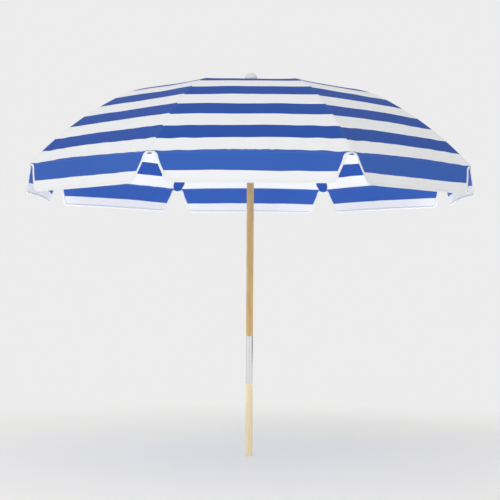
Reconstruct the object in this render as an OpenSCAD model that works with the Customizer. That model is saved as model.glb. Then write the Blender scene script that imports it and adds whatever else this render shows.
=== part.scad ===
// Pull-apart beach umbrella with a two-piece wooden pole and an eight-rib cloth canopy.
// Millimetres, +Z up. The origin is the buried point of the pole, on the pole's axis.
// Ribs stand at 22.5 degrees and every 45 degrees from there, so panels face X and Y.

/* [Canopy] */
// Number of ribs, and of canopy panels
rib_count = 8; // [8:1:8]
// Radius from the pole's axis to each rib tip
canopy_r = 1143; // [1000:1:1300]
// Height of the rib tips above the pole's point
rim_z = 1830; // [1750:1:1950]
// Downward slope of the canopy beside the crown, in degrees
slope_in = 7; // [5:0.5:9]
// Slope where the two bends of a rib meet, in degrees
slope_mid = 29; // [24:0.5:32]
// Slope at the rib tips, in degrees
slope_tip = 48.5; // [44:0.5:52]
// Share of the radius at which a rib starts to bend, at its stretcher
bend_start = 0.45; // [0.4:0.01:0.5]
// Share of the radius at which the tight bend becomes the long one
bend_mid = 0.62; // [0.58:0.01:0.68]
// Thickness of the cloth's solid
cloth_t = 1; // [0.6:0.1:1.5]
// Rise of the rim at the middle of a panel, above the rib tips
rim_arch = 8; // [0:1:25]
// Depth by which a panel is pulled in between its ribs
panel_sag = 2; // [0:1:20]

/* [Valance] */
// Depth of the hanging flaps
valance_h = 137; // [100:1:180]
// Half the width of the notch between two flaps, at its rounded top
notch_top = 30; // [20:1:35]
// Depth of the rounded top of that notch, below the rim
notch_rise = 30; // [20:1:35]
// Half the width of that notch near the flaps' lower corners
notch_low = 60; // [40:1:70]
// Radius of the flaps' lower corners
flap_corner = 34; // [15:1:45]

/* [Pole] */
// Diameter of both wooden poles and of the ferrule
pole_d = 36; // [30:1:40]
// Length of the turned point that goes into the sand
point_len = 120; // [80:5:160]
// Height of the ferrule's lower end, where the pole pulls apart
ferrule_z = 758; // [700:1:820]
// Length of the ferrule
ferrule_len = 240; // [180:5:280]
// Wall of the ferrule's tube
ferrule_wall = 1; // [0.8:0.1:1.5]
// Radial play of the lower pole in the ferrule
joint_play = 0.05; // [0.02:0.01:0.1]

/* [Frame] */
// Diameter of a rib's steel rod
rib_d = 5; // [4:0.5:6]
// Diameter of a stretcher's steel rod
stretcher_d = 6; // [5:0.5:7]
// Distance from the pole's axis to the pins of the hub and of the runner
pivot_r = 28; // [27:0.5:32]
// Drop from the hub's pins to the runner's pins when the umbrella is open
runner_drop = 400; // [360:5:420]
// Diameter of the pins and rivets
pin_d = 3; // [2.5:0.5:4]
// Outer diameter of the hub and of the runner's flange
hub_d = 76; // [72:1:84]
// Length of the runner's sleeve below its pins
sleeve_len = 60; // [45:5:75]

/* [Finial] */
// Diameter of the domed finial
finial_d = 66; // [50:1:70]
// Height of the finial's top above the pole's point
finial_top = 2348; // [2330:1:2380]

/* [Hidden] */
$fn = 48;
RIBS = [1:rib_count];
STEP = 360 / rib_count;

WOOD = [0.78, 0.62, 0.40];
STEEL = [0.80, 0.80, 0.82];
BLUE = [0.20, 0.34, 0.66];
WHITE = [0.90, 0.90, 0.89];

// The rib's line seen from the side: straight, then a tight bend, then a long bend
bend_a_r = bend_start * canopy_r;
bend_b_r = bend_mid * canopy_r;
bend_a = (bend_b_r - bend_a_r) / (sin(slope_mid) - sin(slope_in));
bend_b = (canopy_r - bend_b_r) / (sin(slope_tip) - sin(slope_mid));
bend_b_h = bend_b * (cos(slope_mid) - cos(slope_tip));
bend_a_h = bend_b_h + bend_a * (cos(slope_in) - cos(slope_mid));

// Slope of the cloth over a rib, at radius r
function slope_at(r) =
    r <= bend_a_r ? slope_in
    : r <= bend_b_r ? asin(sin(slope_in) + (r - bend_a_r) / bend_a)
    : asin(sin(slope_mid) + (r - bend_b_r) / bend_b);

// Height of the cloth over a rib, above the rib tips, at radius r
function height_at(r) =
    r <= bend_a_r ? bend_a_h + (bend_a_r - r) * tan(slope_in)
    : r <= bend_b_r ? bend_a_h - bend_a * (cos(slope_in) - cos(slope_at(r)))
    : bend_b_h - bend_b * (cos(slope_mid) - cos(slope_at(r)));

// Rods lie under the cloth by their own radius, half the cloth and a small gap
rib_gap = 1;
rod_under = rib_d / 2 + cloth_t / 2 + rib_gap;
hub_under = 9.5; // the hub's pins are lower, to clear the eyes of the ribs
hub_z = rim_z + height_at(pivot_r) - hub_under;
runner_z = hub_z - runner_drop;

// The end of the rib's straight stretch, and the rivet under it
rod_end = [bend_a_r - rod_under * sin(slope_in),
           rim_z + bend_a_h - rod_under * cos(slope_in)];
rivet_drop = 9;
clip_r = 3;
clip_len = 14;
rivet_at = rod_end - rivet_drop * [sin(slope_in), cos(slope_in)];
rod_slope = atan2(hub_z - rod_end[1], rod_end[0] - pivot_r);

// The stretcher runs from the rivet down to the runner's pin
stretcher_len = norm(rivet_at - [pivot_r, runner_z]);
stretcher_angle = atan2(rivet_at[1] - runner_z, rivet_at[0] - pivot_r);

// Fits and small sizes
pin_r = pin_d / 2;
pin_fit = 0.02;
hinge_play = 0.05;
eye_r = 5;
lug_t = 3;
ear_t = 1.5;
ear_gap = 0.3;
ear_inner = lug_t / 2 + ear_gap;
fork_len = 16;
fork_base = 6;
hub_slot_w = rib_d + 0.8;
runner_slot_w = stretcher_d + 0.8;
slot_in_r = 22;
slide_play = 0.35;
body_gap = 0.4;
crown_in = 34;
patch_r = 48;
screw_r = 4;
seam = 1.2; // the valance hangs this far below the rim
notch_hem = 6; // cloth left above the notch
ferrule_screw_z = ferrule_z + ferrule_len - 50;
patch_z = hub_z + hub_under + cloth_t / 2 + pivot_r * tan(slope_in) + body_gap; // taken up to the axis

// One rib's place: turns a piece drawn along +X to rib i
module at_rib(i) {
    rotate([0, 0, STEP * (i - 0.5)]) children();
}

// A short cylinder along Y, centred, for eyes, lugs and pins
module across(r, w) {
    rotate([90, 0, 0]) cylinder(r = r, h = w, center = true);
}

// The bent stretch of a rib's rod, from the stretcher's joint to the tip
module bent_rod() {
    rings = 20;
    sides = 8;
    grid = [for (j = [0:rings])
        let (r = bend_a_r + (canopy_r - bend_a_r) * j / rings,
             s = slope_at(r),
             mid = [r - rod_under * sin(s), 0, rim_z + height_at(r) - rod_under * cos(s)])
        for (k = [0:sides - 1])
            let (a = 360 * (k + 0.5) / sides)
            mid + rib_d / 2 * [cos(a) * sin(s), sin(a), cos(a) * cos(s)]];
    walls = [for (j = [0:rings - 1]) for (k = [0:sides - 1])
        let (a = j * sides + k, b = j * sides + (k + 1) % sides, c = a + sides, d = b + sides)
        each [[a, b, d], [a, d, c]]];
    start = [for (k = [sides - 1:-1:0]) k];
    end = [for (k = [0:sides - 1]) rings * sides + k];
    polyhedron(points = grid, faces = concat(walls, [start, end]));
}

module lower_pole() {
    color(WOOD) {
        tip_r = 4;
        rotate_extrude() polygon([
            [0, 0], [tip_r, 0], [pole_d / 2, point_len], [pole_d / 2, ferrule_z],
            [pole_d / 2 - ferrule_wall - joint_play, ferrule_z],
            [pole_d / 2 - ferrule_wall - joint_play, ferrule_z + ferrule_len / 2 - 1],
            [0, ferrule_z + ferrule_len / 2 - 1]
        ]);
    }
}

module upper_pole() {
    slot_w = 6;
    slot_deep = 12;
    slot_h = 58;
    color(WOOD) difference() {
        rotate_extrude() polygon([
            [0, ferrule_z + ferrule_len / 2],
            [pole_d / 2 - ferrule_wall - pin_fit, ferrule_z + ferrule_len / 2],
            [pole_d / 2 - ferrule_wall - pin_fit, ferrule_z + ferrule_len],
            [pole_d / 2, ferrule_z + ferrule_len],
            [pole_d / 2, hub_z + 2],
            [0, hub_z + 2]
        ]);
        translate([0, 0, hub_z - 40]) cylinder(r = screw_r + pin_fit, h = 50);
        translate([pole_d / 2 - slot_deep, -slot_w / 2, runner_z - sleeve_len - slot_h])
            cube([slot_deep + 1, slot_w, slot_h]);
        ferrule_screw_holes();
    }
}

// Two holes for the ferrule's screws, in front and at the back
module ferrule_screw_holes() {
    deep = 13;
    for (side = [-1, 1])
        translate([0, side * (pole_d / 2 - deep / 2 + 0.5), ferrule_screw_z])
            across(pin_r + pin_fit, deep + 1);
}

module ferrule() {
    bead = 0.4;
    r = pole_d / 2;
    color(STEEL) difference() {
        rotate_extrude() polygon([
            [r - ferrule_wall, ferrule_z + 0.3], [r - bead, ferrule_z + 0.3],
            [r, ferrule_z + 0.3 + bead], [r, ferrule_z + ferrule_len - bead],
            [r - bead, ferrule_z + ferrule_len], [r - ferrule_wall, ferrule_z + ferrule_len]
        ]);
        ferrule_screw_holes();
    }
}

module ferrule_screws() {
    head_r = 3.2;
    head_h = 1.2;
    color(STEEL) for (side = [-1, 1]) translate([0, 0, ferrule_screw_z]) {
        translate([0, side * (pole_d / 2 - 6), 0]) across(pin_r, 12);
        translate([0, side * (pole_d / 2 + head_h / 2 + 0.05), 0]) across(head_r, head_h);
    }
}

module crown_hub() {
    under = 10;
    top = 7;
    r = hub_d / 2;
    socket_top = 2.2;
    color(WHITE) difference() {
        translate([0, 0, hub_z]) rotate_extrude() polygon([
            [pole_d / 2 + pin_fit, -under], [r - 2, -under], [r, 2 - under],
            [r, 3], [r - 4, top - 1.6], [8, top], [screw_r + pin_fit, top],
            [screw_r + pin_fit, socket_top], [pole_d / 2 + pin_fit, socket_top]
        ]);
        for (i = RIBS) at_rib(i) translate([0, 0, hub_z]) {
            translate([slot_in_r, -hub_slot_w / 2, -under - 1])
                cube([r, hub_slot_w, under + 1 + 4]);
            translate([pivot_r, 0, 0]) across(eye_r + 0.5, hub_slot_w);
            translate([pivot_r, 0, 0]) across(pin_r + pin_fit, 14.1);
        }
    }
}

// Eight short pins, one across each slot, at height z
module ring_of_pins(z) {
    color(STEEL) for (i = RIBS) at_rib(i) translate([pivot_r, 0, z]) across(pin_r, 14);
}

module crown_pins() {
    ring_of_pins(hub_z);
}

module runner_pins() {
    ring_of_pins(runner_z);
}

module finial() {
    base_z = patch_z + cloth_t + body_gap;
    tall = finial_top - base_z;
    neck_r = 17;
    rim_h = 10;
    dome_r = finial_d / 2;
    color(WHITE) difference() {
        translate([0, 0, base_z]) rotate_extrude() polygon(concat(
            [[0, 0], [neck_r, 0], [neck_r, 3], [dome_r - 3, rim_h - 4]],
            [for (a = [0:10:90]) [dome_r * cos(a), rim_h + (tall - rim_h) * sin(a)]]
        ));
        translate([0, 0, base_z - 1]) cylinder(r = screw_r + pin_fit, h = 26);
    }
}

module finial_screw() {
    color(STEEL) translate([0, 0, hub_z - 38]) cylinder(r = screw_r, h = 72);
}

module crown_patch() {
    fall = tan(slope_in);
    color(BLUE) translate([0, 0, patch_z]) rotate_extrude() polygon([
        [screw_r + 1, -fall * (screw_r + 1)], [patch_r, -fall * patch_r],
        [patch_r, cloth_t - fall * patch_r], [screw_r + 1, cloth_t - fall * (screw_r + 1)]
    ]);
}

module runner() {
    half = 9;
    r = hub_d / 2;
    sleeve_r = pole_d / 2 + 5;
    bore_r = pole_d / 2 + slide_play;
    color(WHITE) difference() {
        translate([0, 0, runner_z]) rotate_extrude() polygon([
            [bore_r, -sleeve_len], [sleeve_r + 2, -sleeve_len], [sleeve_r + 2, 4 - sleeve_len],
            [sleeve_r, 7 - sleeve_len], [sleeve_r, -half - 6], [r - 2, -half], [r, 2 - half],
            [r, half - 2], [r - 2, half], [bore_r, half]
        ]);
        for (i = RIBS) at_rib(i) translate([0, 0, runner_z]) {
            translate([slot_in_r + 0.6, -runner_slot_w / 2, -eye_r - 0.6])
                cube([r, runner_slot_w, half + eye_r + 2]);
            translate([pivot_r, 0, 0]) across(pin_r + pin_fit, 14.1);
        }
    }
}

// A bent leaf in the pole's slot, whose top end stands under the runner's sleeve
module top_spring() {
    leaf_w = 5;
    leaf_t = 1.2;
    foot = 54;
    out = pole_d / 2 + 4;
    deep = pole_d / 2 - 10;
    color(STEEL)
        translate([0, leaf_w / 2, runner_z - sleeve_len - body_gap])
            rotate([90, 0, 0]) linear_extrude(leaf_w) polygon([
                [deep, -foot], [deep + leaf_t, -foot], [out, -7], [out, 0],
                [out - leaf_t - 5, 0], [out - leaf_t - 5, -leaf_t],
                [out - leaf_t, -leaf_t], [out - leaf_t, -7], [deep, -foot + 4]
            ]);
}

module rib(i) {
    color(WHITE) at_rib(i) difference() {
        union() {
            // the eye at the hub and the straight stretch
            translate([pivot_r, 0, hub_z]) across(eye_r, lug_t);
            translate([pivot_r, 0, hub_z])
                rotate([0, 90 + rod_slope, 0])
                    translate([0, 0, eye_r - 1])
                        cylinder(d = rib_d, h = norm(rod_end - [pivot_r, hub_z]) - eye_r + 1);
            // the clip that joins the straight stretch to the bent one
            translate([rod_end[0], 0, rod_end[1]]) rotate([0, 90 + slope_in, 0])
                cylinder(r = clip_r, h = clip_len, center = true);
            // the lug for the stretcher's rivet
            translate([rivet_at[0], 0, rivet_at[1]]) {
                across(eye_r, lug_t);
                rotate([0, slope_in, 0])
                    translate([-eye_r, -lug_t / 2, 0]) cube([2 * eye_r, lug_t, rivet_drop]);
            }
            bent_rod();
        }
        translate([pivot_r, 0, hub_z]) across(pin_r + hinge_play, 2 * rib_d);
        translate([rivet_at[0], 0, rivet_at[1]]) across(pin_r + pin_fit, 2 * rib_d);
    }
}

// Drawn along +X from the rivet, then turned down to the runner's pin
module stretcher(i) {
    ear_w = ear_inner + ear_t;
    eye_w = 4;
    rod_from = fork_len - 1;
    color(WHITE) at_rib(i)
        translate([rivet_at[0], 0, rivet_at[1]])
            rotate([0, 180 - stretcher_angle, 0]) difference() {
                union() {
                    across(eye_r, 2 * ear_w);
                    translate([0, -ear_w, -4]) cube([fork_len, 2 * ear_w, 8]);
                    translate([rod_from, 0, 0]) rotate([0, 90, 0])
                        cylinder(d = stretcher_d, h = stretcher_len - rod_from - eye_r + 1);
                    translate([stretcher_len, 0, 0]) across(eye_r, eye_w);
                }
                translate([-2 * eye_r, -ear_inner, -2 * eye_r])
                    cube([2 * eye_r + fork_len - fork_base, 2 * ear_inner, 4 * eye_r]);
                across(pin_r + hinge_play, 4 * ear_w);
                translate([stretcher_len, 0, 0]) across(pin_r + hinge_play, 2 * eye_w);
            }
}

// The rivet through a rib's lug and a stretcher's ears, with a head on each side
module rivet(i) {
    ear_out = ear_inner + ear_t + ear_gap;
    head_r = 3;
    head_t = 1;
    color(STEEL) at_rib(i) translate([rivet_at[0], 0, rivet_at[1]]) {
        across(pin_r, 2 * ear_out + 0.2);
        for (side = [-1, 1]) translate([0, side * (ear_out + head_t / 2), 0])
            across(head_r, head_t);
    }
}

// Rise or fall of a panel against a straight line between its ribs
// v is 0 at a rib and 1 at the panel's middle
function panel_shift(r, v) =
    let (out = r / canopy_r, bulge = 1 - pow(1 - v, 2))
    bulge * (rim_arch * pow(out, 4) - panel_sag * sin(180 * out));

// A point of the cloth: r is the radius at the rib, u runs from -1 to 1 across two half panels
function cloth_point(r, u, side) =
    let (half = STEP / 2,
         turn = u * (half - asin(body_gap / 2 / r)),
         reach = r * cos(half) / cos(half - abs(turn)),
         lift = side * cloth_t / 2 / cos(slope_at(r)))
    [reach * cos(turn), reach * sin(turn),
     rim_z + height_at(r) + panel_shift(r, abs(u)) + lift];

// A rib and half of each panel beside it, as one thin shell of cloth
module canopy(i) {
    cols = 8;
    radii = concat(
        [for (j = [0:2]) crown_in + (bend_a_r - crown_in) * j / 3],
        [for (j = [0:4]) bend_a_r + (bend_b_r - bend_a_r) * j / 5],
        [for (j = [0:7]) bend_b_r + (canopy_r - bend_b_r) * j / 7]);
    rows = len(radii) - 1;
    grid = [for (side = [1, -1]) for (r = radii) for (k = [0:cols])
        cloth_point(r, 2 * k / cols - 1, side)];
    w = cols + 1;
    under = w * (rows + 1);
    top_faces = [for (j = [0:rows - 1]) for (k = [0:cols - 1])
        let (a = j * w + k, b = a + 1, c = a + w, d = c + 1)
        each [[a, b, d], [a, d, c]]];
    low_faces = [for (f = top_faces) [f[0] + under, f[2] + under, f[1] + under]];
    rim = concat([for (k = [0:cols]) k], [for (j = [1:rows]) j * w + cols],
                 [for (k = [cols - 1:-1:0]) rows * w + k], [for (j = [rows - 1:-1:1]) j * w]);
    count = len(rim);
    walls = [for (n = [0:count - 1])
        let (a = rim[n], b = rim[(n + 1) % count])
        each [[b, a, a + under], [b, a + under, b + under]]];
    color(BLUE) at_rib(i) polyhedron(points = grid, faces = concat(top_faces, low_faces, walls));
}

// Half of a hanging flap, in its own plane: x runs from the rib tip to the panel's middle
module half_flap() {
    half_chord = canopy_r * sin(STEP / 2) - body_gap / 2;
    steps = 8;
    low = -valance_h;
    top_edge = [for (k = [0:steps])
        let (x = body_gap + (half_chord - body_gap) * k / steps,
             v = x / half_chord)
        [x, rim_arch * (1 - pow(1 - v, 2)) - seam]];
    corner = [for (a = [270:-15:180])
        [notch_low + flap_corner * (1 + cos(a)), low + flap_corner * (1 + sin(a))]];
    arch = [for (a = [0:15:90])
        [body_gap + (notch_top - body_gap) * cos(a), -notch_rise + (notch_rise - notch_hem) * sin(a)]];
    rotate([90, 0, 0]) linear_extrude(cloth_t, center = true)
        polygon(concat(top_edge, [[half_chord, low]], corner, arch));
}

// The two half flaps that hang beside one rib tip
module valance(i) {
    color(BLUE) at_rib(i) translate([canopy_r, 0, rim_z]) {
        rotate([0, 0, 90 + STEP / 2]) half_flap();
        mirror([0, 1, 0]) rotate([0, 0, 90 + STEP / 2]) half_flap();
    }
}

lower_pole();
upper_pole();
ferrule();
ferrule_screws();
crown_hub();
crown_pins();
finial();
finial_screw();
crown_patch();
runner();
runner_pins();
top_spring();
for (i = RIBS) {
    rib(i);
    stretcher(i);
    rivet(i);
    canopy(i);
    valance(i);
}
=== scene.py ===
import math

import bpy
import bmesh
from mathutils import Matrix, Vector, noise

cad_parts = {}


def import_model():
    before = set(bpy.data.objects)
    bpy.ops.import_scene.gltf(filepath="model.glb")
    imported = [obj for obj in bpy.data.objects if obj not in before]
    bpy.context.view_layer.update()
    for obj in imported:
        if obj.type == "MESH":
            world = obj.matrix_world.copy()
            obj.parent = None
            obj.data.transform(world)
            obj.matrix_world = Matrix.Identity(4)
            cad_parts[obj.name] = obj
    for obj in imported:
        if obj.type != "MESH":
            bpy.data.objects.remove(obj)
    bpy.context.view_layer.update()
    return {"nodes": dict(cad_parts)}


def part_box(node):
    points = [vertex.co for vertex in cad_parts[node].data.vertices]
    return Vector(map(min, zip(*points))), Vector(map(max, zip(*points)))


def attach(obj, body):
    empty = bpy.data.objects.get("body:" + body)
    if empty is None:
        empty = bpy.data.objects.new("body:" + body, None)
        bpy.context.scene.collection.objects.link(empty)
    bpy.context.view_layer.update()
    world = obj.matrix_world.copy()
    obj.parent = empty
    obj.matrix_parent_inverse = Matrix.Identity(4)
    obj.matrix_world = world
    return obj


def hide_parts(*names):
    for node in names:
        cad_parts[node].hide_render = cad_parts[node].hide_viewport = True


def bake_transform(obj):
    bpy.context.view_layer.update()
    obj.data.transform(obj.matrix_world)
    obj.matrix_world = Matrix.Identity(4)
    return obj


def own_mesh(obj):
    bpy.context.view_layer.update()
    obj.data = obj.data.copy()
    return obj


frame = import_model()
NODES = frame["nodes"]

# ---------------------------------------------------------------- sizes, in metres
RIBS = range(1, 9)
STEP = math.radians(45)
HALF = STEP / 2

RADIUS = 1.143          # pole axis to rib tip
RIM_Z = 1.830           # height of the rib tips
CROWN_IN = 0.034        # where the canopy's path is measured to, beside the hub
SECTION_IN = 0.042      # where the folding cloth starts, far enough out to swing past the hub
SLOPE_IN, SLOPE_MID, SLOPE_TIP = (math.radians(a) for a in (7, 29, 48.5))
BEND_A_R, BEND_B_R = 0.45 * RADIUS, 0.62 * RADIUS
RIM_ARCH = 0.008        # rise of the rim at a panel's middle
PANEL_SAG = 0.002       # how far a panel is pulled in between its ribs
VALANCE_H = 0.137       # depth of the hanging valance
NOTCH_TOP, NOTCH_LOW = 0.030, 0.060   # half the notch's width at its top and at its foot
NOTCH_HEM, NOTCH_RISE = 0.007, 0.030  # depth of the notch's rounded top, and of its sides' start
FLAP_CORNER = 0.034     # radius of a flap's lower corners
TAPE_W = 0.0105         # width of the white tape on a flap's edge
FLARE = 0.030           # how far a flap's end swings out beside its notch
CLOTH_T = 0.0007        # thickness of the canopy's cloth
PATCH_T = 0.0009        # thickness of the rib pockets and the crown cover
STRIPE = 0.0885         # width of a stripe along a panel
STRIPE_SEWN_IN = 0.009  # part of the first stripe that is sewn into the rim
VALANCE_BLUE = 0.086    # depth of the valance's blue band
SAND_Z = 0.390          # height of the ground on the buried pole

BEND_A = (BEND_B_R - BEND_A_R) / (math.sin(SLOPE_MID) - math.sin(SLOPE_IN))
BEND_B = (RADIUS - BEND_B_R) / (math.sin(SLOPE_TIP) - math.sin(SLOPE_MID))
BEND_B_H = BEND_B * (math.cos(SLOPE_MID) - math.cos(SLOPE_TIP))
BEND_A_H = BEND_B_H + BEND_A * (math.cos(SLOPE_IN) - math.cos(SLOPE_MID))


def slope_at(r):
    """Slope of the cloth over a rib at radius r."""
    if r <= BEND_A_R:
        return SLOPE_IN
    if r <= BEND_B_R:
        return math.asin(math.sin(SLOPE_IN) + (r - BEND_A_R) / BEND_A)
    return math.asin(min(math.sin(SLOPE_MID) + (r - BEND_B_R) / BEND_B, math.sin(SLOPE_TIP)))


def height_at(r):
    """Height of the cloth over a rib above the rib tips."""
    if r <= BEND_A_R:
        return BEND_A_H + (BEND_A_R - r) * math.tan(SLOPE_IN)
    if r <= BEND_B_R:
        return BEND_A_H - BEND_A * (math.cos(SLOPE_IN) - math.cos(slope_at(r)))
    return BEND_B_H - BEND_B * (math.cos(SLOPE_MID) - math.cos(slope_at(r)))


def azimuth(i):
    """Angle of rib i round the pole."""
    return STEP * (i - 0.5)


def radial(i):
    """Direction from the pole towards rib i's tip, level."""
    return Vector((math.cos(azimuth(i)), math.sin(azimuth(i)), 0))


def tangent(i):
    """Level direction across rib i, towards the next rib."""
    return Vector((-math.sin(azimuth(i)), math.cos(azimuth(i)), 0))


def panel_path():
    """Length along a panel's middle line from the rim in to each radius, as a table of (r, length)."""
    count = 240
    radii = [RADIUS + (CROWN_IN - RADIUS) * k / count for k in range(count + 1)]
    shrink = math.cos(HALF)
    length, table = 0.0, []
    for k, r in enumerate(radii):
        if k:
            last = radii[k - 1]
            length += math.hypot((last - r) * shrink, height_at(r) - height_at(last))
        table.append((r, length))
    return table


PATH = panel_path()


def path_at(r):
    """Distance from the rim along the panel, for the stripes."""
    place = (RADIUS - r) / (RADIUS - CROWN_IN) * (len(PATH) - 1)
    k = max(0, min(int(place), len(PATH) - 2))
    return PATH[k][1] + (PATH[k + 1][1] - PATH[k][1]) * (place - k)


# ---------------------------------------------------------------- mesh helpers
def new_mesh(name, points, faces, uvs=None, body=None, material=None):
    """A piece from points and faces. uvs, if given, holds one (u, v) per point."""
    mesh = bpy.data.meshes.new(name)
    mesh.from_pydata([tuple(p) for p in points], [], faces)
    if uvs:
        layer = mesh.uv_layers.new(name="cloth")
        for loop in mesh.loops:
            layer.data[loop.index].uv = uvs[loop.vertex_index]
    for poly in mesh.polygons:
        poly.use_smooth = True
    mesh.update()
    piece = bpy.data.objects.new(name, mesh)
    bpy.context.scene.collection.objects.link(piece)
    if material:
        mesh.materials.append(material)
    if body:
        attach(piece, body)
    return piece


def grid_faces(rows, cols, flip=False):
    """Quads of a grid whose points run along each row first."""
    faces = []
    for j in range(rows - 1):
        for k in range(cols - 1):
            a = j * cols + k
            quad = (a, a + 1, a + cols + 1, a + cols)
            faces.append(quad[::-1] if flip else quad)
    return faces


def thicken(piece, thickness):
    """Gives an open sheet its real thickness, closed at the edges."""
    bpy.context.view_layer.objects.active = piece
    piece.select_set(True)
    solid = piece.modifiers.new("thick", "SOLIDIFY")
    solid.thickness = thickness
    solid.offset = 0.0
    solid.use_even_offset = True
    bpy.ops.object.modifier_apply(modifier=solid.name)
    piece.data.set_sharp_from_angle(angle=math.radians(50))
    piece.select_set(False)


def circle(r, count):
    """Points of a circle, as (x, y) pairs."""
    turns = [2 * math.pi * k / count for k in range(count)]
    return [(r * math.cos(a), r * math.sin(a)) for a in turns]


def band(first, count):
    """Quads from the closed ring of count points that starts at first to the ring after it."""
    pairs = [(first + k, first + (k + 1) % count) for k in range(count)]
    return [(a, b, b + count, a + count) for a, b in pairs]


def mend(piece, merge=None):
    """Turns the faces outward, after joining points that lie closer than merge."""
    bm = bmesh.new()
    bm.from_mesh(piece.data)
    if merge:
        bmesh.ops.remove_doubles(bm, verts=bm.verts, dist=merge)
    bmesh.ops.recalc_face_normals(bm, faces=bm.faces)
    bm.to_mesh(piece.data)
    bm.free()


def lathe(name, profile, segments, body, material):
    """A turned piece from (radius, height) pairs, closed where the radius is 0."""
    points = [(x, y, z) for r, z in profile for x, y in circle(r, segments)]
    faces = [quad for j in range(len(profile) - 1) for quad in band(j * segments, segments)]
    piece = new_mesh(name, points, faces, body=body, material=material)
    mend(piece, merge=1e-6)
    return piece


# ---------------------------------------------------------------- material helpers
class Shader:
    """A small builder for node materials."""

    def __init__(self, name, roughness=0.6, metallic=0.0, **values):
        self.mat = bpy.data.materials.new(name)
        self.mat.use_nodes = True
        self.nodes = self.mat.node_tree.nodes
        self.links = self.mat.node_tree.links
        self.bsdf = self.nodes["Principled BSDF"]
        self.set(self.bsdf, Roughness=roughness, Metallic=metallic)
        for key, value in values.items():
            self.bsdf.inputs[key.replace("_", " ")].default_value = value

    def set(self, node, **values):
        for key, value in values.items():
            node.inputs[key.replace("_", " ")].default_value = value

    def add(self, kind, **settings):
        node = self.nodes.new(kind)
        for key, value in settings.items():
            setattr(node, key, value)
        return node

    def join(self, out, into):
        self.links.new(out, into)

    def math(self, operation, a, b=None):
        node = self.add("ShaderNodeMath", operation=operation)
        for socket, value in zip(node.inputs, (a, b)):
            if value is None:
                continue
            if isinstance(value, (int, float)):
                socket.default_value = value
            else:
                self.join(value, socket)
        return node.outputs[0]

    def mix(self, factor, a, b, blend="MIX"):
        node = self.add("ShaderNodeMix", data_type="RGBA", blend_type=blend)
        for socket, value in ((node.inputs[0], factor), (node.inputs[6], a), (node.inputs[7], b)):
            if isinstance(value, (int, float, tuple)):
                socket.default_value = value
            else:
                self.join(value, socket)
        return node.outputs[2]

    def ramp(self, factor, stops):
        node = self.add("ShaderNodeValToRGB")
        while len(node.color_ramp.elements) < len(stops):
            node.color_ramp.elements.new(0.5)
        for element, (place, colour) in zip(node.color_ramp.elements, stops):
            element.position = place
            element.color = colour
        self.join(factor, node.inputs[0])
        return node.outputs[0]

    def noise(self, vector, scale, detail=3.0, roughness=0.5, distortion=0.0):
        node = self.add("ShaderNodeTexNoise")
        self.set(node, Scale=scale, Detail=detail, Roughness=roughness, Distortion=distortion)
        self.join(vector, node.inputs["Vector"])
        return node.outputs["Fac"]

    def bump(self, height, strength, distance, normal=None):
        node = self.add("ShaderNodeBump")
        self.set(node, Strength=strength, Distance=distance)
        self.join(height, node.inputs["Height"])
        if normal is not None:
            self.join(normal, node.inputs["Normal"])
        return node.outputs["Normal"]


def rgb(r, g, b):
    """A colour given as sRGB 0 to 255, for a linear socket."""
    def linear(c):
        c /= 255
        return c / 12.92 if c <= 0.04045 else ((c + 0.055) / 1.055) ** 2.4

    return (linear(r), linear(g), linear(b), 1.0)


BLUE = rgb(36, 76, 160)
BLUE_WORN = rgb(46, 88, 172)
# the valance's blues are the canopy's blue painted lighter, a painted highlight for flaps that face the
# light; the worn tone beside each varies at random
LIT_FLAP_BLUE = rgb(52, 92, 175)
LIT_FLAP_BLUE_WORN = rgb(62, 104, 187)
WHITE = rgb(236, 237, 239)
WHITE_SOILED = rgb(227, 228, 228)


THREAD_PITCH = 0.0011
STITCH_HALF_W, STITCH_PITCH, STITCH_SHARE = 0.0004, 0.0036, 0.68
RIM_STITCHES = (0.0045, 0.0105)   # distances of the two rows from the rim
RIB_STITCHES = (0.0040, 0.0075)   # and from the seam over a rib
STITCH_COLOUR = rgb(150, 156, 178)


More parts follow.
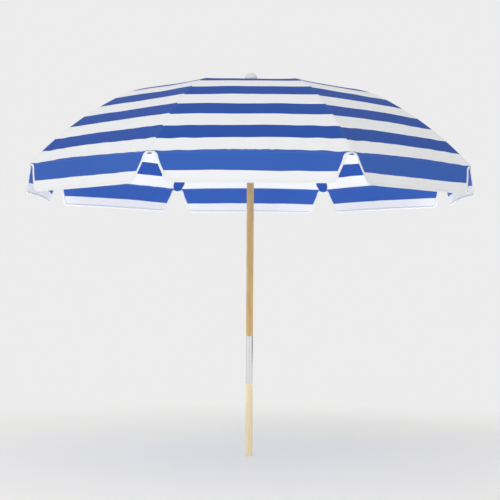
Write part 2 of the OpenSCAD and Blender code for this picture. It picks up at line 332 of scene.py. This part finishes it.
def cloth_material(name, kind):
    """Woven canvas. kind is canopy, valance, blue or white; u and v of the cloth map are in metres."""
    s = Shader(name, roughness=0.82, Sheen_Weight=0.05, Sheen_Roughness=0.5, Specular_IOR_Level=0.15)
    coords = s.add("ShaderNodeUVMap", uv_map="cloth").outputs["UV"]
    place = s.add("ShaderNodeTexCoord").outputs["Object"]
    split = s.add("ShaderNodeSeparateXYZ")
    s.join(coords, split.inputs[0])
    u, v = split.outputs[0], split.outputs[1]

    # weave: warp and weft threads crossing
    pitch = 2 * math.pi / THREAD_PITCH
    warp = s.math("SINE", s.math("MULTIPLY", u, pitch))
    weft = s.math("SINE", s.math("MULTIPLY", v, pitch))
    weave = s.math("MULTIPLY", warp, weft)
    slub = s.noise(place, 260.0, 2.0)
    blotch = s.noise(place, 3.2, 4.0, 0.6)
    fade = s.noise(place, 11.0, 3.0, 0.55)

    wander = s.math("MULTIPLY", s.math("SUBTRACT", s.noise(place, 4.5, 2.0), 0.5), 0.010)
    wavy = s.math("ADD", v, wander)
    # the valance takes the lighter blues: painted highlight on the same fabric as the canopy
    blues = (LIT_FLAP_BLUE, LIT_FLAP_BLUE_WORN) if kind == "valance" else (BLUE, BLUE_WORN)
    blue = s.mix(s.math("MULTIPLY", blotch, 0.55), *blues)
    white = s.mix(s.math("MULTIPLY", fade, 0.5), WHITE, WHITE_SOILED)
    if kind == "canopy":
        along = s.math("ADD", wavy, STRIPE_SEWN_IN)
        phase = s.math("MODULO", s.math("DIVIDE", along, STRIPE), 2.0)
        is_blue = s.math("GREATER_THAN", phase, 1.0)
    elif kind == "valance":
        is_blue = s.math("LESS_THAN", wavy, VALANCE_BLUE)
    else:
        is_blue = 1.0 if kind == "blue" else 0.0
    colour = s.mix(is_blue, white, blue)
    if kind in ("canopy", "valance"):
        sewn = s.math("MULTIPLY", stitches(s, u, v, kind), 0.35)
        colour = s.mix(sewn, colour, STITCH_COLOUR)
    threads = s.math("ADD", s.math("MULTIPLY", weave, 0.035), s.math("MULTIPLY", slub, 0.06))
    shade = s.math("ADD", threads, 0.965)
    tone = s.add("ShaderNodeCombineXYZ")
    for socket in tone.inputs:
        s.join(shade, socket)
    colour = s.mix(1.0, colour, tone.outputs[0], "MULTIPLY")
    s.join(colour, s.bsdf.inputs["Base Color"])
    s.join(s.math("ADD", s.math("MULTIPLY", slub, 0.16), 0.72), s.bsdf.inputs["Roughness"])
    fine = s.bump(s.math("ADD", weave, slub), 0.35, 0.0004)
    s.join(s.bump(fade, 0.25, 0.004, fine), s.bsdf.inputs["Normal"])
    return s.mat


def stitches(s, u, v, kind):
    """Two rows of short stitches beside each seam: along the ribs on the canopy, along the rim on both."""
    def row(across, along, place):
        near = s.math("COMPARE", across, place)
        near.node.inputs[2].default_value = STITCH_HALF_W
        dash = s.math("LESS_THAN", s.math("FRACT", s.math("DIVIDE", along, STITCH_PITCH)), STITCH_SHARE)
        return s.math("MULTIPLY", near, dash)

    rim = s.math("ADD", *(row(v, u, place) for place in RIM_STITCHES))
    if kind == "valance":
        return rim
    aside = s.math("ABSOLUTE", u)
    seams = s.math("ADD", *(row(aside, v, place) for place in RIB_STITCHES))
    return s.math("MAXIMUM", rim, seams)


def wood_material(name, low, mid, high, shade):
    """Varnished light hardwood with long grain up the pole, between three tones."""
    s = Shader(name, roughness=0.42, Coat_Weight=0.25, Coat_Roughness=0.25)
    place = s.add("ShaderNodeTexCoord").outputs["Object"]
    stretch = s.add("ShaderNodeMapping")
    s.set(stretch, Scale=(1.0, 1.0, 0.045))
    s.join(place, stretch.inputs["Vector"])
    long_grain = s.noise(stretch.outputs[0], 120.0, 6.0, 0.62, 0.6)
    wide_grain = s.noise(stretch.outputs[0], 26.0, 3.0, 0.5, 1.4)
    pores = s.noise(stretch.outputs[0], 620.0, 2.0, 0.6)
    patches = s.noise(place, 2.6, 2.0)
    base = s.ramp(wide_grain, [(0.25, low), (0.52, mid), (0.78, high)])
    grain = s.ramp(long_grain, [(0.36, low), (0.5, mid), (0.7, high)])
    colour = s.mix(0.5, base, grain)
    colour = s.mix(s.math("MULTIPLY", patches, 0.30), colour, low)
    dark = s.math("GREATER_THAN", pores, 0.66)
    colour = s.mix(s.math("MULTIPLY", dark, 0.22), colour, shade)
    s.join(colour, s.bsdf.inputs["Base Color"])
    s.join(s.math("ADD", s.math("MULTIPLY", long_grain, 0.22), 0.34), s.bsdf.inputs["Roughness"])
    s.join(s.bump(s.math("ADD", long_grain, pores), 0.2, 0.0006), s.bsdf.inputs["Normal"])
    return s.mat


def metal_material(name, colour, roughness, brush=0.0, metallic=1.0):
    """Drawn or brushed metal, with faint streaks up its length and small scuffs."""
    s = Shader(name, roughness=roughness, metallic=metallic)
    place = s.add("ShaderNodeTexCoord").outputs["Object"]
    stretch = s.add("ShaderNodeMapping")
    s.set(stretch, Scale=(1.0, 1.0, 0.02))
    s.join(place, stretch.inputs["Vector"])
    streak = s.noise(stretch.outputs[0], 900.0, 3.0)
    scuff = s.noise(place, 46.0, 5.0, 0.65)
    worn = s.math("GREATER_THAN", scuff, 0.62)
    darker = tuple(c * 0.72 for c in colour[:3]) + (1.0,)
    s.join(s.mix(s.math("MULTIPLY", scuff, 0.35), colour, darker), s.bsdf.inputs["Base Color"])
    rough = s.math("ADD", s.math("MULTIPLY", streak, 0.12 + brush), roughness - 0.05)
    s.join(s.math("ADD", rough, s.math("MULTIPLY", worn, 0.10)), s.bsdf.inputs["Roughness"])
    s.join(s.bump(streak, 0.10 + brush, 0.0002), s.bsdf.inputs["Normal"])
    return s.mat


def plastic_material(name, colour, roughness, coat=0.0):
    """Moulded plastic: soft mottling, fine texture and a little dirt."""
    s = Shader(name, roughness=roughness, Coat_Weight=coat, Coat_Roughness=0.2)
    place = s.add("ShaderNodeTexCoord").outputs["Object"]
    mottle = s.noise(place, 34.0, 4.0, 0.6)
    grit = s.noise(place, 900.0, 2.0)
    dirt = tuple(c * 0.80 for c in colour[:3]) + (1.0,)
    s.join(s.mix(s.math("MULTIPLY", mottle, 0.45), colour, dirt), s.bsdf.inputs["Base Color"])
    s.join(s.math("ADD", s.math("MULTIPLY", mottle, 0.18), roughness - 0.08), s.bsdf.inputs["Roughness"])
    s.join(s.bump(grit, 0.12, 0.0003), s.bsdf.inputs["Normal"])
    return s.mat


CANOPY_CLOTH = cloth_material("canopy_cloth", "canopy")
VALANCE_CLOTH = cloth_material("valance_cloth", "valance")
BLUE_CLOTH = cloth_material("blue_cloth", "blue")
WHITE_TAPE = cloth_material("white_tape", "white")
UPPER_WOOD = wood_material("upper_wood", rgb(176, 140, 86), rgb(206, 174, 116), rgb(222, 194, 140),
                           rgb(118, 82, 44))
LOWER_WOOD = wood_material("lower_wood", rgb(222, 202, 158), rgb(240, 224, 184), rgb(246, 235, 204),
                           rgb(156, 120, 76))
CHROME = metal_material("ferrule_metal", (0.86, 0.86, 0.87, 1), 0.12)
SCREW = metal_material("screw_metal", (0.86, 0.86, 0.86, 1), 0.20)
PIN = metal_material("pin_metal", (0.60, 0.60, 0.61, 1), 0.34, 0.1)
PAINT = metal_material("rib_paint", rgb(232, 232, 230), 0.42, metallic=0.0)
PLASTIC = plastic_material("hub_plastic", rgb(226, 226, 224), 0.48)
FINIAL = plastic_material("finial_plastic", rgb(228, 224, 226), 0.30, 0.3)


# ---------------------------------------------------------------- cloth
BROAD_RIPPLE, SMALL_RIPPLE = 0.0045, 0.0014  # heights of the cloth's unevenness
TIP_FOLD, TIP_FOLD_REACH = 0.0030, 0.16      # height of the tension folds, and how far from the rib they run
SEAM_RISE, SEAM_HALF_W = 0.0010, 0.005       # the sewn seam over a rib


def ripple(p):
    """Small soft unevenness of taut cloth, the same on both sides of every cut."""
    broad = noise.noise(Vector((p.x * 2.3, p.y * 2.3, p.z * 2.3 + 7.0)))
    small = noise.noise(Vector((p.x * 7.0 + 3.0, p.y * 7.0, p.z * 7.0)))
    return BROAD_RIPPLE * broad + SMALL_RIPPLE * small


def cloth_point(i, r, u):
    """A point of rib i's cloth: r is the radius at the rib, u runs from -1 to 1 across two half panels."""
    v = abs(u)
    turn = u * HALF
    reach = r * math.cos(HALF) / math.cos(HALF - abs(turn))
    out = r / RADIUS
    bulge = 1 - (1 - v) ** 2
    angle = azimuth(i) + turn
    z = RIM_Z + height_at(r) + bulge * (RIM_ARCH * out ** 4 - PANEL_SAG * math.sin(math.pi * out))
    p = Vector((reach * math.cos(angle), reach * math.sin(angle), z))
    away = abs(reach * math.sin(turn))
    p.z += ripple(p) * min(1.0, away / 0.10) * min(1.0, out * 3)
    # tension folds that run in from the rib tips and die out up the panel
    near_rim = max(0.0, (out - 0.72) / 0.28)
    fold = math.sin(away * 62.0 + 0.8) * math.exp(-away / TIP_FOLD_REACH)
    p.z += TIP_FOLD * near_rim ** 2 * fold * min(1.0, away / 0.02)
    # the sewn seam stands a little proud over the rib
    p.z += SEAM_RISE * math.exp(-(away / SEAM_HALF_W) ** 2)
    return p


SECTION_ROWS = 92
SECTION_HALF_COLS = 24


def section(i):
    """Rib i's part of the canopy: half of the panel on each side, as one curved sheet."""
    spread = [(k / SECTION_HALF_COLS) ** 1.35 for k in range(SECTION_HALF_COLS + 1)]
    across = [-u for u in reversed(spread)] + spread[1:]
    radii = [RADIUS + (SECTION_IN - RADIUS) * j / SECTION_ROWS for j in range(SECTION_ROWS + 1)]
    points, uvs = [], []
    for r in radii:
        along = path_at(r)
        for u in across:
            p = cloth_point(i, r, u)
            points.append(p)
            turn = u * HALF
            across_m = r * math.cos(HALF) / math.cos(HALF - abs(turn)) * math.sin(turn)
            slip = 0.004 * ((i * 5) % 3 - 1) * math.exp(-abs(across_m) / 0.12)
            uvs.append((across_m, along + math.copysign(slip, u)))
    faces = grid_faces(len(radii), len(across), flip=True)
    piece = new_mesh(f"canopy_section_{i}", points, faces, uvs, f"rib_{i}", CANOPY_CLOTH)
    thicken(piece, CLOTH_T)
    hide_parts(f"canopy_{i}")
    return piece


def flap_outline(x):
    """Depth of a half flap's free edge below the rim, at distance x from the rib tip."""
    side_end = VALANCE_H - FLAP_CORNER
    if x >= NOTCH_LOW + FLAP_CORNER:
        return VALANCE_H
    if x >= NOTCH_LOW:
        run = NOTCH_LOW + FLAP_CORNER - x
        return side_end + math.sqrt(max(FLAP_CORNER ** 2 - run ** 2, 0))
    if x >= NOTCH_TOP:
        return NOTCH_RISE + (side_end - NOTCH_RISE) * ((x - NOTCH_TOP) / (NOTCH_LOW - NOTCH_TOP)) ** 0.85
    return NOTCH_RISE - (NOTCH_RISE - NOTCH_HEM) * math.sqrt(1 - (x / NOTCH_TOP) ** 2)


def flap_edge(fine):
    """Distances from the rib tip along a half flap, closest together where its free edge turns."""
    half_chord = RADIUS * math.sin(HALF)
    inner = NOTCH_LOW + FLAP_CORNER
    places = [NOTCH_TOP * math.sin(math.pi / 2 * k / fine) for k in range(fine)]
    places += [NOTCH_TOP + (NOTCH_LOW - NOTCH_TOP) * k / fine for k in range(fine)]
    places += [NOTCH_LOW + FLAP_CORNER * (1 - math.cos(math.pi / 2 * k / fine)) for k in range(fine)]
    return places + [inner + (half_chord - inner) * k / (4 * fine) for k in range(4 * fine + 1)]


def flap_frame(i, side):
    """Start, direction and outward normal of the half flap on one side of rib tip i."""
    chord = radial(i) * -math.sin(HALF) + tangent(i) * side * math.cos(HALF)
    normal = radial(i) * math.cos(HALF) + tangent(i) * side * math.sin(HALF)
    return radial(i) * RADIUS + Vector((0, 0, RIM_Z)), chord, normal


def flap_point(i, side, x, depth, lift=0.0):
    """A point of the half flap: x along the rim from the rib tip, depth below the rim."""
    start, chord, normal = flap_frame(i, side)
    half_chord = RADIUS * math.sin(HALF)
    v = min(x / half_chord, 1.0)
    arch = RIM_ARCH * (1 - (1 - v) ** 2)
    p = start + chord * x
    p.z += arch * (1 - 0.85 * depth / VALANCE_H) - depth
    hang = depth / VALANCE_H
    # a global wave, so that the two halves of a flap meet
    wave = noise.noise(Vector((p.x * 4.2, p.y * 4.2, 1.7)))
    small = noise.noise(Vector((p.x * 13.0, p.y * 13.0, p.z * 3.0)))
    sway = hang ** 1.4 * (0.009 * wave + 0.0028 * small)
    sway += 0.006 * hang - 0.0013 * math.exp(-depth / 0.003)
    sway += FLARE * hang ** 1.3 * math.exp(-(x / 0.16) ** 2)
    return p + normal * (sway + lift)


FLAP_ROWS = 26


def half_flap(i, side):
    """Half of a hanging flap beside rib tip i, rounded at its notch corner."""
    tag = "a" if side > 0 else "b"
    edge = flap_edge(10)
    points, uvs = [], []
    for j in range(FLAP_ROWS + 1):
        for x in edge:
            depth = flap_outline(x) * j / FLAP_ROWS
            points.append(flap_point(i, side, x, depth))
            uvs.append((x, depth))
    faces = grid_faces(FLAP_ROWS + 1, len(edge), flip=side < 0)
    piece = new_mesh(f"valance_flap_{i}{tag}", points, faces, uvs, f"valance_{i}", VALANCE_CLOTH)
    thicken(piece, CLOTH_T)
    return piece


def binding(i, side):
    """White tape folded over the free edge of a half flap."""
    tag = "a" if side > 0 else "b"
    route = [(x, flap_outline(x)) for x in flap_edge(12)]
    wrap = 0.0011  # from the middle of the cloth to the tape's outside
    ring = [
        (0.0, wrap), (0.5, wrap), (1.0, wrap * 0.8),
        (1.0, -wrap * 0.8), (0.5, -wrap), (0.0, -wrap), (-0.08, 0.0),
    ]
    points, uvs = [], []
    run = 0.0
    for n, (x, depth) in enumerate(route):
        before, after = route[max(n - 1, 0)], route[min(n + 1, len(route) - 1)]
        dx, dd = after[0] - before[0], after[1] - before[1]
        size = math.hypot(dx, dd) or 1.0
        inward = (dd / size, -dx / size)
        if n:
            run += math.hypot(x - route[n - 1][0], depth - route[n - 1][1])
        width = TAPE_W
        if inward[1] < -0.2:  # near the seam the tape stops short of the rim
            width = min(width, (depth - 0.001) / -inward[1])
        for share, lift in ring:
            points.append(flap_point(i, side, max(x + inward[0] * width * share, 0.0),
                                     depth + inward[1] * width * share, lift))
            uvs.append((run, share * TAPE_W))
    count = len(ring)
    faces = []
    for n in range(len(route) - 1):
        faces += band(n * count, count)
    faces.append(tuple(range(count)))
    faces.append(tuple(reversed(range((len(route) - 1) * count, len(route) * count))))
    piece = new_mesh(f"valance_binding_{i}{tag}", points, faces, uvs, f"valance_{i}", WHITE_TAPE)
    mend(piece)
    return piece


POCKET_W, POCKET_END_W = 0.066, 0.040     # across the pocket, and across its end at the rim
POCKET_L, POCKET_TAPER = 0.086, 0.020     # as it is cut, and the stretch of it that narrows to the end
POCKET_BACK, POCKET_DROP = 0.074, 0.0125  # how far in it reaches, and how far its end hangs at the rim


def rib_pocket(i):
    """The blue patch inside the canopy, narrower at the rim, that holds the end of rib i."""
    rows, cols = 14, 18
    points, uvs = [], []
    for j in range(rows + 1):
        back = 0.001 + POCKET_BACK * j / rows
        half_width = (POCKET_END_W + (POCKET_W - POCKET_END_W) * min(1.0, back / POCKET_TAPER)) / 2
        r = RADIUS - back * 0.72
        for k in range(cols + 1):
            y = half_width * (2 * k / cols - 1)
            turn = math.asin(y / r) / HALF
            p = cloth_point(i, r, turn)
            slack = 0.0014 + 0.0078 * math.exp(-(y / 0.011) ** 2) * min(1.0, 0.35 + back / 0.03)
            slope = slope_at(r)
            p -= (radial(i) * math.sin(slope) + Vector((0, 0, math.cos(slope)))) * slack
            p.z -= POCKET_DROP * max(0.0, 1 - back / 0.016)
            points.append(p)
            uvs.append((y, back))
    faces = grid_faces(rows + 1, cols + 1)
    piece = new_mesh(f"rib_pocket_{i}", points, faces, uvs, f"rib_{i}", BLUE_CLOTH)
    thicken(piece, PATCH_T)
    return piece


COVER_R, COVER_HOLE_R = 0.056, 0.006
COVER_GAP = 0.0017            # height of the cover's middle above the canopy's cloth


def crown_cover(i):
    """Rib i's eighth of the round canvas patch under the finial, which bends over the hub's edge."""
    rings, spokes = 20, 16
    points, uvs = [], []
    for j in range(rings + 1):
        r = COVER_HOLE_R + (COVER_R - COVER_HOLE_R) * j / rings
        for k in range(spokes + 1):
            off = HALF * (2 * k / spokes - 1)
            at_rib = r * math.cos(off) / math.cos(HALF)
            z = RIM_Z + height_at(at_rib) + COVER_GAP
            if j == rings:
                z -= 0.0006
            a = azimuth(i) + off
            points.append((r * math.cos(a), r * math.sin(a), z))
            uvs.append((r * off, r))
    piece = new_mesh(f"crown_cover_{i}", points, grid_faces(rings + 1, spokes + 1, flip=True), uvs,
                     material=BLUE_CLOTH)
    thicken(piece, PATCH_T)
    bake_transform(piece)
    if i == 1:
        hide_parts("crown_patch")
    return piece


def make_cloth():
    """Every piece of cloth: the canopy's sections, the rib pockets, the half flaps with their tape and the
    crown cover.
    """
    for i in RIBS:
        cloth = section(i)
        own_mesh(cloth)
        pocket = rib_pocket(i)
        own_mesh(pocket)
        for side in (1, -1):
            flap, tape = half_flap(i, side), binding(i, side)
            if side > 0:
                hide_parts(f"valance_{i}")
            for piece in (flap, tape):
                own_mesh(piece)
        cover = crown_cover(i)


# ---------------------------------------------------------------- hard parts
def paint_nodes():
    """The CAD parts keep their shapes and get their materials."""
    looks = {
        "lower_pole": LOWER_WOOD, "upper_pole": UPPER_WOOD, "ferrule": CHROME,
        "crown_hub": PLASTIC, "runner": PLASTIC, "crown_pins": PIN,
        "runner_pins": PIN, "top_spring": PIN, "finial_screw": PIN, "finial": FINIAL,
        "ferrule_screws": SCREW,
    }
    for i in RIBS:
        looks[f"rib_{i}"] = PAINT
        looks[f"stretcher_{i}"] = PAINT
        looks[f"rivet_{i}"] = PIN
    for name, material in looks.items():
        node = NODES[name]
        node.data.materials.clear()
        node.data.materials.append(material)


def finial():
    """The domed finial: a flared foot, a small bead and a smooth dome."""
    low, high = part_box("finial")
    tall = high[2] - low[2]
    r = (high[0] - low[0]) / 2
    hole, neck, rim_h = 0.0041, 0.017, 0.011
    foot_steps, dome_steps = 8, 24
    profile = [
        (hole, low[2]), (neck, low[2]),
        (neck + 0.0008, low[2] + 0.0012), (neck + 0.001, low[2] + 0.003),
    ]
    for k in range(foot_steps + 1):
        a = math.pi / 2 * k / foot_steps
        profile.append((neck + 0.002 + (r - neck - 0.003) * math.sin(a),
                        low[2] + 0.004 + (rim_h - 0.006) * (1 - math.cos(a))))
    profile.append((r - 0.0002, low[2] + rim_h - 0.001))
    for k in range(dome_steps + 1):
        a = math.pi / 2 * k / dome_steps
        profile.append((r * math.cos(a), low[2] + rim_h + (tall - rim_h) * math.sin(a)))
    piece = lathe("finial_dome", profile, 64, "upper_pole", FINIAL)
    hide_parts("finial")


HEAD_R, HEAD_H = 0.0032, 0.0013                          # a screw's head
SHANK_R, SHANK_L = 0.0015, 0.006
CROSS_HALF_W, CROSS_REACH, CROSS_DEEP = 0.00038, 0.0019, 0.0007  # the recess in it


def ferrule_screws():
    """Two pan-head screws: a shallow dome with a cross recess, on a plain shank."""
    low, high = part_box("ferrule_screws")
    middle = (low[2] + high[2]) / 2
    rings, spokes = 20, 72
    seat = high[1] - HEAD_H
    points, faces = [], []
    for side in (-1, 1):
        first = len(points)
        for j in range(rings + 1):
            dome = math.sqrt(1 - (0.9 * j / rings) ** 2)
            for x, z in circle(HEAD_R * j / rings, spokes):
                in_cross = min(abs(x), abs(z)) < CROSS_HALF_W and max(abs(x), abs(z)) < CROSS_REACH
                out = seat + HEAD_H * dome - (CROSS_DEEP if in_cross else 0)
                points.append((x, side * out, middle + z))
        for back, reach in ((seat - 0.0002, HEAD_R), (seat - SHANK_L, SHANK_R)):
            points += [(x, side * back, middle + z) for x, z in circle(reach, spokes)]
        for j in range(rings + 2):
            faces += band(first + j * spokes, spokes)
        end = first + (rings + 2) * spokes
        faces.append(tuple(range(end, end + spokes)))
    piece = new_mesh("screw_heads", points, faces, body="upper_pole", material=SCREW)
    mend(piece, merge=1e-7)
    piece.data.set_sharp_from_angle(angle=math.radians(35))
    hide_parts("ferrule_screws")


paint_nodes()
finial()
ferrule_screws()
make_cloth()


# ---------------------------------------------------------------- floor, light and camera
BACKDROP = rgb(236, 236, 236)
FLOOR_R = 9.0
FADE_START, FADE_END = 1.5, 3.2  # radii between which the floor turns into the backdrop


def floor():
    """A round pale floor at the sand's level, which fades into the backdrop and is clear from below."""
    rings, spokes = 12, 96
    points = [(0, 0, SAND_Z)]
    for j in range(1, rings + 1):
        points += [(x, y, SAND_Z) for x, y in circle(FLOOR_R * j / rings, spokes)]
    faces = [(0, 1 + k, 1 + (k + 1) % spokes) for k in range(spokes)]
    for j in range(rings - 1):
        faces += [(a, d, c, b) for a, b, c, d in band(1 + j * spokes, spokes)]
    ground = new_mesh("floor", points, faces)
    s = Shader("floor", roughness=0.9)
    place = s.add("ShaderNodeTexCoord").outputs["Object"]
    flat = s.add("ShaderNodeVectorMath", operation="LENGTH")
    s.join(place, flat.inputs[0])
    grain = s.noise(place, 60.0, 4.0)
    pale = s.mix(s.math("MULTIPLY", grain, 0.3), rgb(248, 247, 244), rgb(241, 239, 235))
    s.join(pale, s.bsdf.inputs["Base Color"])
    fade = s.add("ShaderNodeMapRange", interpolation_type="SMOOTHSTEP")
    s.set(fade, From_Min=FADE_START, From_Max=FADE_END, To_Min=1.0, To_Max=0.0)
    s.join(flat.outputs["Value"], fade.inputs["Value"])
    far = s.add("ShaderNodeEmission")
    s.set(far, Color=BACKDROP)
    ground_mix = s.add("ShaderNodeMixShader")
    s.join(fade.outputs[0], ground_mix.inputs[0])
    s.join(far.outputs[0], ground_mix.inputs[1])
    s.join(s.bsdf.outputs[0], ground_mix.inputs[2])
    clear = s.add("ShaderNodeBsdfTransparent")
    mixed = s.add("ShaderNodeMixShader")
    s.join(s.add("ShaderNodeNewGeometry").outputs["Backfacing"], mixed.inputs[0])
    s.join(ground_mix.outputs[0], mixed.inputs[1])
    s.join(clear.outputs[0], mixed.inputs[2])
    s.join(mixed.outputs[0], s.nodes["Material Output"].inputs["Surface"])
    ground.data.materials.append(s.mat)


# grey levels round the horizon that only reflections see, as (turn, grey)
REFLECTED_BANDS = [
    (0.0, 0.85), (0.12, 1.0), (0.19, 1.0), (0.225, 0.35), (0.25, 0.35), (0.285, 1.15), (0.36, 1.15),
    (0.40, 0.45), (0.44, 0.85), (0.52, 0.35), (0.62, 0.25), (0.76, 0.6), (0.90, 0.8),
]


def world():
    """A plain pale surround, with light and dark bands that only reflections see."""
    scene_world = bpy.data.worlds.new("studio")
    bpy.context.scene.world = scene_world
    scene_world.use_nodes = True
    nodes, links = scene_world.node_tree.nodes, scene_world.node_tree.links
    plain = nodes["Background"]
    plain.inputs["Color"].default_value = BACKDROP
    plain.inputs["Strength"].default_value = 1.0
    bands = nodes.new("ShaderNodeBackground")
    bands.inputs["Strength"].default_value = 1.0
    coords = nodes.new("ShaderNodeTexCoord")
    gradient = nodes.new("ShaderNodeTexGradient")
    gradient.gradient_type = "RADIAL"
    ramp = nodes.new("ShaderNodeValToRGB")
    while len(ramp.color_ramp.elements) < len(REFLECTED_BANDS):
        ramp.color_ramp.elements.new(0.5)
    for element, (place, grey) in zip(ramp.color_ramp.elements, REFLECTED_BANDS):
        element.position = place
        element.color = (grey, grey, grey, 1)
    path = nodes.new("ShaderNodeLightPath")
    mix = nodes.new("ShaderNodeMixShader")
    links.new(coords.outputs["Generated"], gradient.inputs["Vector"])
    links.new(gradient.outputs["Fac"], ramp.inputs["Fac"])
    links.new(ramp.outputs["Color"], bands.inputs["Color"])
    links.new(path.outputs["Is Glossy Ray"], mix.inputs[0])
    links.new(plain.outputs[0], mix.inputs[1])
    links.new(bands.outputs[0], mix.inputs[2])
    links.new(mix.outputs[0], nodes["World Output"].inputs["Surface"])


def lamp(name, place, target, size, power):
    """A soft round lamp that neither the camera nor a reflection sees."""
    data = bpy.data.lights.new(name, "AREA")
    data.shape = "DISK"
    data.size = size
    data.energy = power
    obj = bpy.data.objects.new(name, data)
    bpy.context.scene.collection.objects.link(obj)
    obj.location = place
    obj.visible_camera = False
    obj.visible_glossy = False
    obj.rotation_euler = (Vector(target) - Vector(place)).to_track_quat("-Z", "Y").to_euler()


CAMERA_AT = (0.0, -6.54, 1.2355)
CAMERA_LENS, SENSOR_W = 92, 36  # millimetres
CAMERA_PITCH, CAMERA_ROLL = math.radians(1.77), math.radians(0.35)


def camera():
    """The viewing point: level with the middle of the pole, looking a little up at one panel."""
    data = bpy.data.cameras.new("camera")
    data.lens = CAMERA_LENS
    data.sensor_width = SENSOR_W
    obj = bpy.data.objects.new("camera", data)
    bpy.context.scene.collection.objects.link(obj)
    turn = Matrix.Rotation(math.pi / 2 + CAMERA_PITCH, 4, "X") @ Matrix.Rotation(CAMERA_ROLL, 4, "Z")
    obj.matrix_world = Matrix.Translation(CAMERA_AT) @ turn
    bpy.context.scene.camera = obj


floor()
world()
lamp("key", (-4.5, -5.0, 6.0), (0, 0, 1.8), 2.5, 55)
lamp("front", (-1.5, -6.5, 1.0), (0, 0, 1.6), 3.0, 100)
for side in (-1, 1):
    lamp("bounce", (side * 0.85, 0.25, 0.60), (side * 0.85, 0.25, 2.0), 1.1, 11)
camera()
bpy.context.scene.view_settings.view_transform = "Standard"
